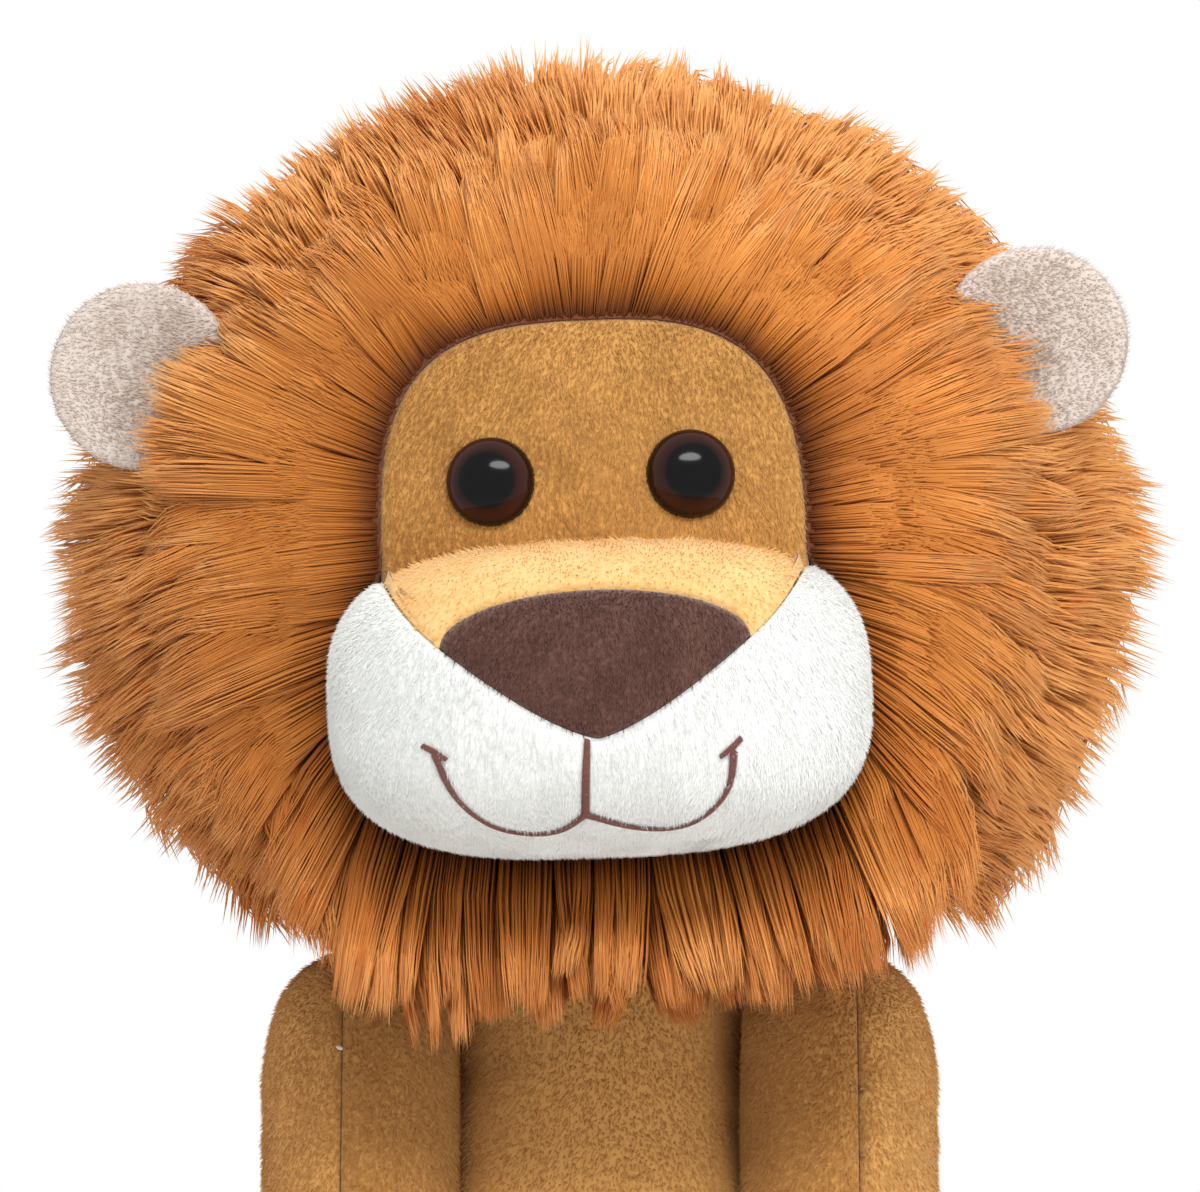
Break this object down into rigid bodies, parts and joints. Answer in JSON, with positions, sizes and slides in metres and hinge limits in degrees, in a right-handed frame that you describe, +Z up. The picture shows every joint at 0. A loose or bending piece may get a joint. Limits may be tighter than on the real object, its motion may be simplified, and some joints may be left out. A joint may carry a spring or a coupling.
{
  "type": "plush lion",
  "caption": "Seated stuffed lion with a deep fur mane, a rounded muzzle, straight front legs, forward feet and a tufted tail; head, legs and tail move on their seams.",
  "frame": {"origin": "on the floor under the axis of the neck, in the middle of the seat", "axes": "+Z up; the lion looks along -Y and its own left side is +X"},
  "size_m": [0.1966, 0.2524, 0.2718],
  "materials": {
    "body_plush": "tan short-pile plush",
    "forehead_plush": "golden tan short-pile plush",
    "bridge_plush": "light gold velour",
    "nose_plush": "dark brown short-pile plush",
    "muzzle_plush": "white short-pile plush",
    "ear_plush": "cream short-pile plush",
    "sole_plush": "light gold velour",
    "mane_fur": "long-pile orange brown fur",
    "stuffing": "polyester fibre",
    "pellet_cloth": "cotton bag of plastic pellets",
    "eye_plastic": "polished safety eye, brown iris and black pupil",
    "washer_plastic": "moulded white"
  },
  "bodies": {
    "torso": {"belly_panel": "body_plush", "back_panel_left": "body_plush", "back_panel_right": "body_plush", "seat_panel": "body_plush", "torso_stuffing": "stuffing", "pellet_bag": "pellet_cloth"},
    "head": {"forehead_panel": "forehead_plush", "bridge_panel": "bridge_plush", "nose_panel": "nose_plush", "muzzle_panel": "muzzle_plush", "mane_front": "mane_fur", "mane_back": "mane_fur", "head_stuffing": "stuffing", "ear_front_left": "ear_plush", "ear_back_left": "ear_plush", "ear_front_right": "ear_plush", "ear_back_right": "ear_plush", "eye_left": "eye_plastic", "eye_right": "eye_plastic", "eye_washer_left": "washer_plastic", "eye_washer_right": "washer_plastic"},
    "front_leg_left": {"front_leg_left_outer_panel": "body_plush", "front_leg_left_inner_panel": "body_plush", "front_leg_left_stuffing": "stuffing"},
    "front_leg_right": {"front_leg_right_outer_panel": "body_plush", "front_leg_right_inner_panel": "body_plush", "front_leg_right_stuffing": "stuffing"},
    "hind_leg_left": {"thigh_panel_left": "body_plush", "thigh_stuffing_left": "stuffing", "foot_panel_left": "body_plush", "sole_panel_left": "sole_plush", "foot_stuffing_left": "stuffing"},
    "hind_leg_right": {"thigh_panel_right": "body_plush", "thigh_stuffing_right": "stuffing", "foot_panel_right": "body_plush", "sole_panel_right": "sole_plush", "foot_stuffing_right": "stuffing"},
    "tail": {"tail_panel": "body_plush", "tail_stuffing": "stuffing", "tail_tuft": "mane_fur"}
  },
  "joints": [
    {"name": "head_turn", "type": "hinge", "parent": "torso", "child": "head", "pos_m": [0, 0, 0.132], "axis": [0, 0, 1], "range_deg": [-20, 20], "stiffness_Nm_per_rad": 0.2},
    {"name": "front_leg_left_swing", "type": "hinge", "parent": "torso", "child": "front_leg_left", "pos_m": [0.04, -0.016, 0.102], "axis": [-1, 0, 0], "range_deg": [0, 50], "stiffness_Nm_per_rad": 0.1},
    {"name": "front_leg_right_swing", "type": "hinge", "parent": "torso", "child": "front_leg_right", "pos_m": [-0.04, -0.016, 0.102], "axis": [-1, 0, 0], "range_deg": [0, 50], "stiffness_Nm_per_rad": 0.1},
    {"name": "hind_leg_left_lift", "type": "hinge", "parent": "torso", "child": "hind_leg_left", "pos_m": [0.067, 0.01039, 0.0295], "axis": [-1, 0, 0], "range_deg": [0, 35], "stiffness_Nm_per_rad": 0.1},
    {"name": "hind_leg_right_lift", "type": "hinge", "parent": "torso", "child": "hind_leg_right", "pos_m": [-0.067, 0.01039, 0.0295], "axis": [-1, 0, 0], "range_deg": [0, 35], "stiffness_Nm_per_rad": 0.1},
    {"name": "tail_swing", "type": "hinge", "parent": "torso", "child": "tail", "pos_m": [0, 0.05273, 0.0125], "axis": [0, 0, 1], "range_deg": [-40, 40], "stiffness_Nm_per_rad": 0.01}
  ]
}
